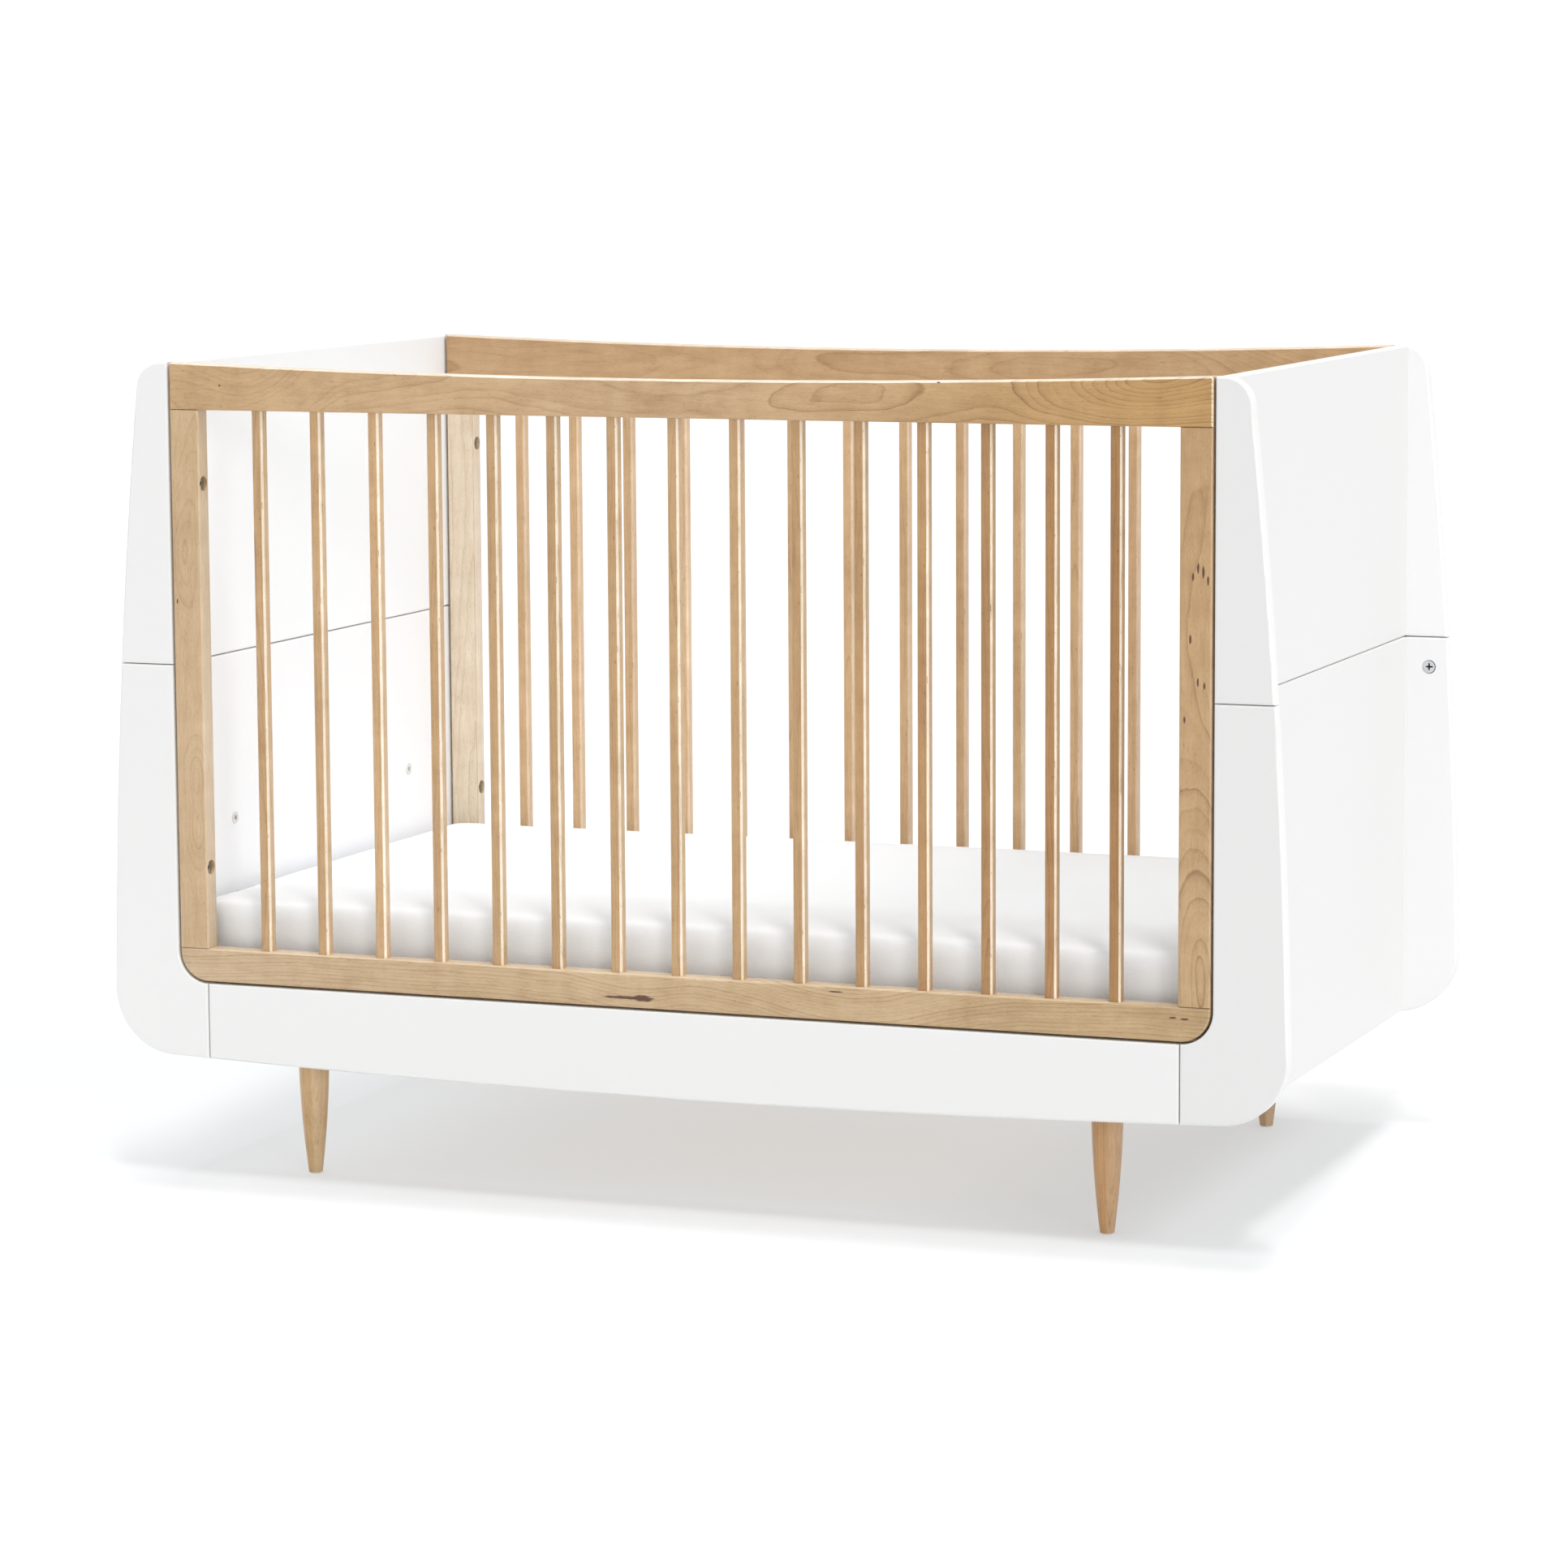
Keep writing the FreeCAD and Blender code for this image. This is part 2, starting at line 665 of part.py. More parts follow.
body = new_body("leg_blank")
sketch = new_sketch(body, "XZ_Plane", 0)
corners = [
    (0.001, dim("glide_thick")),
    (dim("leg_foot_radius"), dim("glide_thick")),
    (dim("leg_top_radius"), dim("leg_top")),
    (0.001, dim("leg_top")),
]
draw_outline(sketch, corners, {1: (dim("leg_swell"), True)})
turned = body.newObject("PartDesign::Revolution", "leg_turned")
turned.Profile = sketch
turned.ReferenceAxis = (sketch, ["V_Axis"])
turned.Angle = 360
doc.recompute()
place(body, dim("leg_out"), -dim("leg_back"), 0)
around(cut("leg", body, [leg_bolts]), "%s_leg", CORNERS)

# ---------------------------------------------------------------- mattress base and mattress

cross_inner = dim("base_half_width") - dim("base_rail_thick")
planks = []
for number in range(BASE_SLATS):
    x = dim("base_slat_pitch") * (number - (BASE_SLATS - 1) / 2)
    half_width = dim("base_slat_width") / 2
    reach = cross_inner + dim("base_slat_seat")
    planks.append(upright("base_slat_%02d" % (number + 1), x - half_width, x + half_width, -reach, reach,
                          dim("base_high") - dim("base_slat_thick"), dim("base_high")))
base_slats = keep(compound("base_slats", planks), "base_slats")

blank = upright("base_side_rail_blank", -dim("base_half_length"), dim("base_half_length"),
                -dim("base_half_width"), -cross_inner, dim("base_low"), dim("base_high"), dim("base_arris"),
                runs_along(X_AXIS))
around(cut("base_side_rail", blank, [base_slats]), "base_%s_rail", FACES)

# the end rails drop over the shouldered bolts: each has two slots, open below
slot_start = dim("base_half_length") - dim("base_rail_thick") - 1
slot_long = dim("base_rail_thick") + 2
slot_top = rod("base_slot_top", dim("slot_radius"), slot_long, slot_start, -dim("base_bolt_side"),
               dim("base_bolt_height"), ALONG_X)
slot_mouth = box("base_slot_mouth", slot_start, slot_start + slot_long,
                 -dim("base_bolt_side") - dim("slot_radius"), -dim("base_bolt_side") + dim("slot_radius"),
                 dim("base_low") - 1, dim("base_bolt_height"))
base_slots = four_corners("base_slots", [fuse("base_slot", [slot_top, slot_mouth])])
blank = upright("base_end_rail_blank", rail_inner, dim("base_half_length"), -cross_inner, cross_inner,
                dim("base_low"), dim("base_high"))
around(cut("base_end_rail", blank, [base_slots]), "base_%s_rail", ENDS)

mattress = upright("mattress_block", -dim("mattress_half_length"), dim("mattress_half_length"),
                   -dim("mattress_half_width"), dim("mattress_half_width"), dim("base_high") + dim("soft_gap"),
                   dim("base_high") + dim("soft_gap") + dim("mattress_thick"), dim("mattress_round"),
                   lambda edge: True)
keep(mattress, "mattress")

# ---------------------------------------------------------------- checks and export

doc.recompute()
for item in doc.Objects:
    if "Invalid" in item.State or "Error" in item.State:
        raise ValueError("failed object: " + item.Label)
for item in nodes:
    if item.Shape.isNull() or not item.Shape.isValid():
        raise ValueError("bad shape: " + item.Label)
labels = [item.Label for item in nodes]
if len(set(labels)) != len(labels):
    raise ValueError("two sub-parts share a label")

os.makedirs("parts", exist_ok=True)
for item in nodes:
    item.Shape.exportStep("parts/%s.step" % item.Label)
    print("%-28s %3d solids %10.1f cm3" % (item.Label, len(item.Shape.Solids), item.Shape.Volume / 1000))
print(len(nodes), "sub-parts")
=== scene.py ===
import math

import bmesh
import bpy
import numpy as np
from mathutils import Matrix, Vector


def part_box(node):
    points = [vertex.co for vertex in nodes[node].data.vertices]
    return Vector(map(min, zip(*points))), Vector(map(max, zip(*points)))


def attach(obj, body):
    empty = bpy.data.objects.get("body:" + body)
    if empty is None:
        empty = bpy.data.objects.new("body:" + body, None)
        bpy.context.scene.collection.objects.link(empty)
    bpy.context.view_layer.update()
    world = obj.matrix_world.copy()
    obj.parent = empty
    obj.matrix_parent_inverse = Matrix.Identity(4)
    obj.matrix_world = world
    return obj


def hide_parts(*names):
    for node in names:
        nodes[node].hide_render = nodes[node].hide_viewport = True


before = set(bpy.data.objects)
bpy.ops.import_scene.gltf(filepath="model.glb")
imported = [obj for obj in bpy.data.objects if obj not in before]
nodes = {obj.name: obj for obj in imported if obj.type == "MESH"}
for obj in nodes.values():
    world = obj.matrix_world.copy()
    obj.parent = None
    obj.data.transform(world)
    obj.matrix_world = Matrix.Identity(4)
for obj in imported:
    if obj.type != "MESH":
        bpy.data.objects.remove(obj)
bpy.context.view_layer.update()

scene = bpy.context.scene


# ---------------------------------------------------------------- camera
# The turn from the front, the height and the roll of the view, the point it looks at and how far
# away that is, in metres, and the lens and sensor in millimetres.
AZIMUTH = math.radians(21.26)
ELEVATION = math.radians(7.474)
ROLL = math.radians(-0.325)
TARGET = Vector((-0.0178, 0.0, 0.4202))
DISTANCE = 5.7921
LENS = 117.21
SENSOR_WIDTH = 36.0
NEAREST = 0.05
FURTHEST = 200.0


def make_camera():
    back = Vector((
        math.sin(AZIMUTH) * math.cos(ELEVATION),
        -math.cos(AZIMUTH) * math.cos(ELEVATION),
        math.sin(ELEVATION),
    ))
    right = Vector((math.cos(AZIMUTH), math.sin(AZIMUTH), 0.0))
    up = back.cross(right)
    rolled_right = right * math.cos(ROLL) + up * math.sin(ROLL)
    rolled_up = up * math.cos(ROLL) - right * math.sin(ROLL)
    data = bpy.data.cameras.new("camera")
    data.lens = LENS
    data.sensor_width = SENSOR_WIDTH
    data.clip_start = NEAREST
    data.clip_end = FURTHEST
    camera = bpy.data.objects.new("camera", data)
    scene.collection.objects.link(camera)
    turn = Matrix((rolled_right, rolled_up, back)).transposed().to_4x4()
    camera.matrix_world = Matrix.Translation(TARGET + back * DISTANCE) @ turn
    scene.camera = camera


# ---------------------------------------------------------------- node materials
def linear(colour):
    """Linear light of an sRGB colour given as 0 to 255."""
    out = []
    for channel in colour:
        c = channel / 255.0
        out.append(c / 12.92 if c <= 0.04045 else ((c + 0.055) / 1.055) ** 2.4)
    return tuple(out)


class Shade:
    """One material, built from nodes with short calls."""

    def __init__(self, name):
        self.material = bpy.data.materials.new(name)
        self.material.use_nodes = True
        self.tree = self.material.node_tree
        self.tree.nodes.clear()
        self.surface = self.node("ShaderNodeBsdfPrincipled")
        output = self.node("ShaderNodeOutputMaterial")
        self.tree.links.new(self.surface.outputs[0], output.inputs[0])
        coordinates = self.node("ShaderNodeTexCoord")
        self.places = coordinates.outputs["Object"]
        self.facing = coordinates.outputs["Normal"]

    def node(self, kind, **settings):
        made = self.tree.nodes.new(kind)
        for key, value in settings.items():
            setattr(made, key, value)
        return made

    def plug(self, socket, value):
        if isinstance(value, bpy.types.NodeSocket):
            self.tree.links.new(value, socket)
        elif value is not None:
            socket.default_value = value

    def math(self, operation, a, b=None):
        made = self.node("ShaderNodeMath", operation=operation)
        for socket, value in zip(made.inputs, (a, b)):
            self.plug(socket, value)
        return made.outputs[0]

    def add(self, a, b):
        return self.math("ADD", a, b)

    def sub(self, a, b):
        return self.math("SUBTRACT", a, b)

    def mul(self, a, b):
        return self.math("MULTIPLY", a, b)

    def split(self, vector):
        made = self.node("ShaderNodeSeparateXYZ")
        self.plug(made.inputs[0], vector)
        return made.outputs

    def join(self, x, y, z):
        made = self.node("ShaderNodeCombineXYZ")
        for socket, value in zip(made.inputs, (x, y, z)):
            self.plug(socket, value)
        return made.outputs[0]

    def moved(self, seed):
        """The object's own coordinates, shifted so that each material gets its own noise."""
        return self.join(*[self.add(axis, seed) for axis in self.split(self.places)])

    def noise(self, vector, scale=1.0, detail=2.0, roughness=0.5):
        made = self.node("ShaderNodeTexNoise")
        self.plug(made.inputs["Vector"], vector)
        self.plug(made.inputs["Scale"], scale)
        self.plug(made.inputs["Detail"], detail)
        self.plug(made.inputs["Roughness"], roughness)
        return made.outputs[0]

    def random(self, value):
        """A different number from 0 to 1 for each whole value."""
        made = self.node("ShaderNodeTexWhiteNoise", noise_dimensions="1D")
        self.plug(made.inputs["W"], value)
        return made.outputs[0]

    def ramp(self, value, stops, smooth=False):
        """A grey level that runs through the stops, each a place and a level."""
        made = self.node("ShaderNodeValToRGB")
        made.color_ramp.interpolation = "EASE" if smooth else "LINEAR"
        elements = made.color_ramp.elements
        while len(elements) < len(stops):
            elements.new(0.5)
        for element, (place, level) in zip(elements, stops):
            element.position = place
            element.color = (level, level, level, 1.0)
        self.plug(made.inputs[0], value)
        return made.outputs[0]

    def fit(self, value, low, high, to_low=0.0, to_high=1.0, smooth=True):
        """Maps low to high onto to_low to to_high, and holds the ends."""
        made = self.node("ShaderNodeMapRange")
        made.interpolation_type = "SMOOTHSTEP" if smooth else "LINEAR"
        for socket, item in zip(made.inputs, (value, low, high, to_low, to_high)):
            self.plug(socket, item)
        return made.outputs[0]

    def blend(self, share, a, b, mode="MIX"):
        """Colour a where share is 0, and b, or a times b, where it is 1."""
        made = self.node("ShaderNodeMix", data_type="RGBA", blend_type=mode)
        self.plug(made.inputs[0], share)
        self.plug(made.inputs[6], a)
        self.plug(made.inputs[7], b)
        return made.outputs[2]

    def tint(self, tone, colour):
        return self.blend(1.0, tone, colour, "MULTIPLY")

    def finish(self, colour, roughness, height=None, depth=None, **fixed):
        """Fills in the surface. depth is the bump's height in metres, and fixed are plain values
        on the surface's other sockets."""
        self.plug(self.surface.inputs["Base Color"], colour)
        self.plug(self.surface.inputs["Roughness"], roughness)
        if height is not None:
            bump = self.node("ShaderNodeBump")
            bump.inputs["Strength"].default_value = 1.0
            bump.inputs["Distance"].default_value = depth
            self.plug(bump.inputs["Height"], height)
            self.plug(self.surface.inputs["Normal"], bump.outputs[0])
        for key, value in fixed.items():
            self.surface.inputs[key.replace("_", " ")].default_value = value
        return self.material


def rgba(colour, level=1.0):
    """A node's colour: an sRGB colour given as 0 to 255, times a level of light."""
    return tuple(c * level for c in linear(colour)) + (1.0,)


PLAIN = (1.0, 1.0, 1.0)
# How the lacquer deepens bare beech, for red, green and blue.
LACQUER = (0.935, 0.90, 0.83, 1.0)
# Which object axes run along, across and through the grain.
GRAIN = {"x": (0, 2, 1), "z": (2, 0, 1), "y": (1, 0, 2)}
# Noise that is drawn out along the grain: steps per metre along and across, detail, roughness,
# and a shift that keeps the fields apart.
FIELDS = {
    "swing": (7.0, 22.0, 2.0, 0.5, 0.0),
    "tremble": (30.0, 90.0, 2.0, 0.5, 4.0),
    "cloud": (5.0, 14.0, 3.0, 0.55, 11.0),
    "curl": (38.0, 16.0, 2.0, 0.5, 23.0),
    "fibre": (45.0, 1500.0, 3.0, 0.65, 31.0),
    "pores": (230.0, 2300.0, 1.0, 0.5, 47.0),
    "rays": (120.0, 700.0, 2.0, 0.5, 53.0),
    "flame": (22.0, 120.0, 3.0, 0.6, 67.0),
}
# The level across one growth ring, from early wood to the dark line of late wood.
RING_LEVELS = ((0.0, 0.05), (0.50, 0.14), (0.78, 0.42), (0.92, 1.0), (1.0, 0.05))
RING_STRENGTH = (0.25, 1.15)
RING_SWING = 0.010
RING_TREMBLE = 0.0016
RING_UNEVEN = 2.2
PORE_LEVELS = ((0.0, 0.0), (0.63, 0.0), (0.72, 1.0))
RAY_LEVELS = ((0.0, 0.0), (0.66, 0.0), (0.76, 1.0))
# How much each of these changes the level of the wood. The first four follow the contrast.
CLOUD_DEPTH = 0.13
FLAME_DEPTH = 0.42
RING_DEPTH = 0.26
CURL_DEPTH = 0.34
FIBRE_DEPTH = 0.46
PORE_DEPTH = 0.28
LEVEL_LIFT = 0.085
# Darker wood is also redder, so blue falls faster than red.
RED_POWER = 0.78
BLUE_POWER = 1.40
# The pale colour of the painted highlight on front edges and top faces.
HIGHLIGHT_COLOUR = (252, 242, 224)
DARK_MARK = (84, 44, 22)
# Slats in a row differ: how far their grain is moved along and across, and their tint.
SLAT_ALONG = 40.0
SLAT_ACROSS = 0.09
SLAT_TINTS = ((0.93, 0.90, 0.84, 1.0), (1.08, 1.06, 1.04, 1.0))


class Beech(Shade):
    """Beech with its grain along one object axis; with a pitch, a row of slats cut from
    different boards."""

    def __init__(self, name, grain, seed, centre, pitch):
        super().__init__(name)
        axes = self.split(self.places)
        self.along, across, through = (axes[i] for i in GRAIN[grain])
        self.seed = seed
        self.own = float(seed)
        self.slat = None
        if pitch:
            self.slat = self.math("ROUND", self.math("DIVIDE", across, pitch))
            across = self.sub(across, self.mul(self.slat, pitch))
            self.own = self.add(self.mul(self.lot(7.3), SLAT_ALONG), self.own)
        self.across = self.sub(across, centre[0])
        self.through = self.sub(through, centre[1])

    def lot(self, shift):
        return self.random(self.add(self.slat, shift + self.seed))

    def field(self, name):
        stretch, sideways, detail, rough, shift = FIELDS[name]
        vector = self.join(
            self.add(self.mul(self.along, stretch), self.add(self.own, shift)),
            self.mul(self.across, sideways),
            self.mul(self.through, sideways),
        )
        return self.noise(vector, detail=detail, roughness=rough)

    def change(self, level, name, depth):
        """The level, with a field added about its own middle."""
        return self.add(level, self.mul(self.sub(self.field(name), 0.5), depth))

    def wander(self, stretch, row):
        """A slow change along the board, about 0."""
        line = self.join(self.add(self.mul(self.along, stretch), self.own), row, 0.0)
        return self.sub(self.noise(line, detail=1.0), 0.5)

    def radius(self, heart, drift, bumps):
        """How far each point lies from the middle of the tree."""
        across = self.sub(self.across, heart[0])
        across = self.add(across, self.mul(self.wander(2.1, 3.7), drift[0] * 2.0))
        if self.slat is not None:
            across = self.add(across, self.mul(self.sub(self.lot(19.1), 0.5), SLAT_ACROSS))
        through = self.add(self.through, heart[1])
        through = self.add(through, self.mul(self.wander(2.6, 9.2), drift[1] * 2.0))
        for spot, half, push_across, push_through in bumps:
            near = self.fit(self.math("ABSOLUTE", self.sub(self.along, spot)), 0.0, half, 1.0, 0.0)
            across = self.add(across, self.mul(near, push_across))
            through = self.add(through, self.mul(near, push_through))
        squares = self.add(self.mul(across, across), self.mul(through, through))
        swing = self.mul(self.sub(self.field("swing"), 0.5), RING_SWING)
        tremble = self.mul(self.sub(self.field("tremble"), 0.5), RING_TREMBLE)
        return self.add(self.math("SQRT", squares), self.add(swing, tremble))

    def late_wood(self, radius, ring, strength):
        """The dark lines of the rings, which are ring metres apart on average."""
        uneven = self.noise(self.join(self.mul(radius, 70.0), self.own, 1.3), detail=1.0)
        turns = self.add(self.math("DIVIDE", radius, ring), self.mul(uneven, RING_UNEVEN))
        line = self.ramp(self.math("FRACT", turns), RING_LEVELS, smooth=True)
        lot = self.random(self.add(self.math("FLOOR", turns), self.own))
        line = self.mul(line, self.fit(lot, 0.0, 1.0, *RING_STRENGTH, smooth=False))
        return self.mul(line, strength)

    def dark_mark(self, tone, rays, across, mark):
        """A knot or a fleck, with a frayed edge."""
        spot, offset, half_long, half_wide = mark
        long_part = self.math("DIVIDE", self.sub(self.along, spot), half_long)
        wide_part = self.math("DIVIDE", self.sub(across, offset), half_wide)
        away = self.add(self.mul(long_part, long_part), self.mul(wide_part, wide_part))
        away = self.add(away, self.mul(self.sub(rays, 0.5), 1.6))
        return self.blend(self.fit(away, 0.45, 1.1, 0.96, 0.0), tone, rgba(DARK_MARK))


def wood(name, grain, seed, tones, centre=(0.0, 0.0), heart=(0.0, 0.05), drift=(0.03, 0.03),
         ring=0.0045, bumps=(), specks=(), pitch=None, contrast=1.0, along=(-0.6, 0.6),
         side=PLAIN, face=PLAIN, lines=(1.0, 1.0), fleck=0.30, gloss=0.15):
    """Satin-lacquered beech.

    tones are the colours at the low end, the middle and the high end of the piece, and along is
    where those ends are. centre is the middle of the section and heart is how far away the middle
    of the tree lies, across and through. drift is how far that wanders along the board. bumps
    (place, half length, across, through) bend the rings at one place, and specks (place, across,
    half length, half width) are dark marks. pitch repeats the section for a row of slats, each
    with its own board; their tones and ends then run along the row. side and face are painted
    light and shade: they tint the right-hand sides and the front for how light falls on them.
    gloss is how strong the painted highlight on the front edges and top faces is, fleck
    is how dark the ray flecks are, and lines is how strongly the rings show at the low and high
    end."""
    s = Beech(name, grain, seed, centre, pitch)
    run = s.fit(s.slat if pitch else s.along, along[0], along[1], smooth=False)
    strength = s.fit(run, 0.0, 1.0, lines[0], lines[1], smooth=False)
    late = s.late_wood(s.radius(heart, drift, bumps), ring, strength)
    fibre = s.field("fibre")
    rays = s.field("rays")
    pore = s.ramp(s.field("pores"), PORE_LEVELS)

    stops = [tuple(c * d for c, d in zip(rgba(tone), LACQUER)) for tone in tones]
    tone = s.blend(s.fit(run, 0.0, 0.5), stops[0], stops[1])
    tone = s.blend(s.fit(run, 0.5, 1.0), tone, stops[2])
    # Painted light and shade: right-hand sides and front faces are tinted lighter or darker for how
    # light falls on them.
    right, ahead, up = s.split(s.facing)
    tone = s.tint(tone, s.blend(s.fit(right, 0.80, 0.98), PLAIN + (1.0,), side + (1.0,)))
    tone = s.tint(tone, s.blend(s.fit(ahead, -0.80, -0.98), PLAIN + (1.0,), face + (1.0,)))
    # Painted highlight: edges that face front and right or front and up, and top faces, are blended
    # towards a pale highlight colour.
    front = s.mul(ahead, -1.0)
    highlight_facing = s.math("MAXIMUM", s.mul(right, front), s.mul(up, front))
    edge = s.math("MAXIMUM", s.fit(highlight_facing, 0.12, 0.36), s.fit(up, 0.80, 0.98))
    tone = s.blend(s.mul(edge, gloss), tone, rgba(HIGHLIGHT_COLOUR))
    if pitch:
        tone = s.tint(tone, s.blend(s.lot(31.7), *SLAT_TINTS))

    cloud = CLOUD_DEPTH * contrast
    level = s.fit(s.field("cloud"), 0.25, 0.75, 1.0 + cloud, 1.0 - cloud, smooth=False)
    level = s.change(level, "flame", FLAME_DEPTH * contrast)
    level = s.sub(level, s.mul(late, RING_DEPTH * contrast))
    level = s.change(level, "curl", CURL_DEPTH * contrast)
    level = s.add(level, s.mul(s.sub(fibre, 0.5), FIBRE_DEPTH))
    level = s.sub(level, s.mul(pore, PORE_DEPTH))
    level = s.sub(level, s.mul(s.ramp(rays, RAY_LEVELS), fleck))
    level = s.add(level, LEVEL_LIFT)
    red = s.math("POWER", level, RED_POWER)
    blue = s.math("POWER", level, BLUE_POWER)
    tone = s.tint(tone, s.join(red, level, blue))
    for mark in specks:
        tone = s.dark_mark(tone, rays, s.add(s.across, centre[0]), mark)

    roughness = s.add(0.40, s.mul(fibre, 0.14))
    height = s.add(s.mul(fibre, 0.5), s.sub(s.mul(late, 0.25), s.mul(pore, 0.6)))
    return s.finish(tone, roughness, height, 0.00012, Coat_Weight=0.55, Coat_Roughness=0.22)


def paint(name, colour, seed, other=None):
    """Sprayed satin enamel on smooth board, with faint orange peel. other is an axis, a sign, and
    the colour of the face that looks that way, a paler or greyer white painted as light and shade."""
    s = Shade(name)
    place = s.moved(seed)
    cloud = s.noise(place, scale=3.0)
    peel = s.noise(place, scale=420.0)
    dust = s.noise(place, scale=60.0, detail=3.0, roughness=0.6)
    tone = s.blend(cloud, rgba(colour, 0.985), rgba(colour, 1.01))
    if other:
        axis, sign, colour = other
        # Painted light and shade: the face that looks that way gets its own paler or greyer white.
        turned = s.fit(s.mul(s.split(s.facing)[axis], sign), 0.5, 0.9)
        tone = s.blend(turned, tone, s.blend(cloud, rgba(colour, 0.985), rgba(colour)))
    roughness = s.add(0.36, s.add(s.mul(dust, 0.10), s.mul(cloud, 0.06)))
    return s.finish(tone, roughness, peel, 0.00006, Coat_Weight=0.15, Coat_Roughness=0.25)


def metal(name, colour, rough, scale, seed):
    """Zinc-plated steel, a little smeared, with fine upright scratches."""
    s = Shade(name)
    smear = s.noise(s.moved(seed), scale=scale, detail=3.0, roughness=0.6)
    x, y, z = s.split(s.places)
    scratch = s.noise(s.join(s.mul(x, 900.0), s.mul(y, 900.0), s.mul(z, 5000.0)))
    tone = s.blend(smear, rgba(colour, 0.9), rgba(colour, 1.05))
    roughness = s.add(rough, s.add(s.mul(smear, 0.10), s.mul(scratch, 0.08)))
    return s.finish(tone, roughness, scratch, 0.00002, Metallic=1.0)


# The painted shade of a cam's cross recess and rim line, in metres: half width and half length
# of the cross, how far in from the rim its dark line starts, and how soft these edges are.
CROSS_WIDTH = (0.0007, 0.0012)
CROSS_LENGTH = (0.0036, 0.0042)
RIM_LINE = (0.0014, 0.0006)
# How far to each side of the middle the rim line's painted shade grows from light to dark.
RIM_SHADE = 0.004


def cam_metal(name, places, radius):
    """Bright turned face with painted shade in its cross recess and along its rim line, the rim
    line darker towards +x. places is the distance of each cam from the middle of the length, and
    its height."""
    s = Shade(name)
    x, _, z = s.split(s.places)
    dx = s.sub(s.math("ABSOLUTE", x), places[0])
    dz = s.sub(z, places[1])
    r = s.math("SQRT", s.add(s.mul(dx, dx), s.mul(dz, dz)))
    thin = s.math("MINIMUM", s.math("ABSOLUTE", dx), s.math("ABSOLUTE", dz))
    # Painted shade: the cross recess and the rim line are painted dark, the rim line more so
    # towards +x.
    cross = s.mul(s.fit(thin, *CROSS_WIDTH, 1.0, 0.0), s.fit(r, *CROSS_LENGTH, 1.0, 0.0))
    rim = s.fit(r, radius - RIM_LINE[0], radius - RIM_LINE[1])
    shaded = s.fit(dx, -RIM_SHADE, RIM_SHADE, 0.25, 0.95)
    dark = s.math("MAXIMUM", cross, s.mul(rim, shaded))
    smear = s.noise(s.places, scale=90.0, detail=3.0, roughness=0.6)
    face = s.blend(smear, rgba((214, 215, 217)), rgba((232, 233, 235)))
    tone = s.blend(dark, face, rgba((44, 44, 46)))
    roughness = s.add(0.14, s.add(s.mul(smear, 0.10), s.mul(dark, 0.3)))
    return s.finish(tone, roughness, Metallic=1.0)


def nylon(name, colour):
    """Moulded nylon with a fine, matt grain."""
    s = Shade(name)
    grain = s.noise(s.places, scale=900.0)
    cloud = s.noise(s.places, scale=40.0)
    tone = s.blend(cloud, rgba(colour, 0.95), rgba(colour))
    roughness = s.add(0.42, s.mul(grain, 0.16))
    return s.finish(
        tone, roughness, grain, 0.00005, Subsurface_Weight=0.05, Subsurface_Scale=0.002,
    )


COLUMN_PITCH = 0.0016
ROW_PITCH = 0.0021


def knit(name, colour, front):
    """Fine cotton jersey: rows of small loops, a little fuzz, and slow wrinkles. The front side is
    painted palest and the top a little darker, as painted light; front is where the front side
    lies."""
    s = Shade(name)
    x, y, z = s.split(s.places)
    wobble = s.mul(s.noise(s.places, scale=25.0, detail=3.0), 2.4)
    rib = s.math("SINE", s.add(s.mul(x, 2.0 * math.pi / COLUMN_PITCH), wobble))
    row = s.add(s.mul(s.add(y, z), 2.0 * math.pi / ROW_PITCH), wobble)
    loop = s.math("SINE", s.add(row, s.mul(s.math("ABSOLUTE", rib), 1.6)))
    weave = s.add(s.mul(rib, 0.5), s.mul(loop, 0.5))
    cloud = s.noise(s.places, scale=7.0, detail=3.0)
    fuzz = s.noise(s.places, scale=1600.0)
    level = s.add(s.add(0.955, s.mul(cloud, 0.045)), s.add(s.mul(weave, 0.012), s.mul(fuzz, 0.02)))
    # Painted light: the top is painted darker than the front side.
    level = s.mul(level, s.fit(y, front + 0.004, front + 0.030, 1.0, 0.925))
    tone = s.join(*[s.mul(level, c) for c in linear(colour)])
    height = s.add(s.mul(weave, 0.35), s.add(s.mul(fuzz, 0.3), s.mul(cloud, 1.2)))
    roughness = s.add(0.82, s.mul(fuzz, 0.12))
    return s.finish(tone, roughness, height, 0.00028, Sheen_Weight=0.25, Sheen_Roughness=0.5)


# ---------------------------------------------------------------- materials on the frame
def assign(material, *names):
    for name in names:
        target = nodes[name]
        slots = target.material_slots
        if not slots:
            target.data.materials.append(material)
        for slot in slots:
            slot.material = material


def middle(name):
    low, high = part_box(name)
    return (low + high) / 2.0


def dress(name, grain, seed, tones, **look):
    """Beech on one node, with the section's middle where the node's is."""
    spot = middle(name)
    centre = tuple(spot[axis] for axis in GRAIN[grain][1:])
    assign(wood("beech_" + name, grain, seed, tones, centre=centre, **look), name)


# The low and high end of a side frame's upright pieces, in metres.
UPRIGHT = (0.25, 0.86)
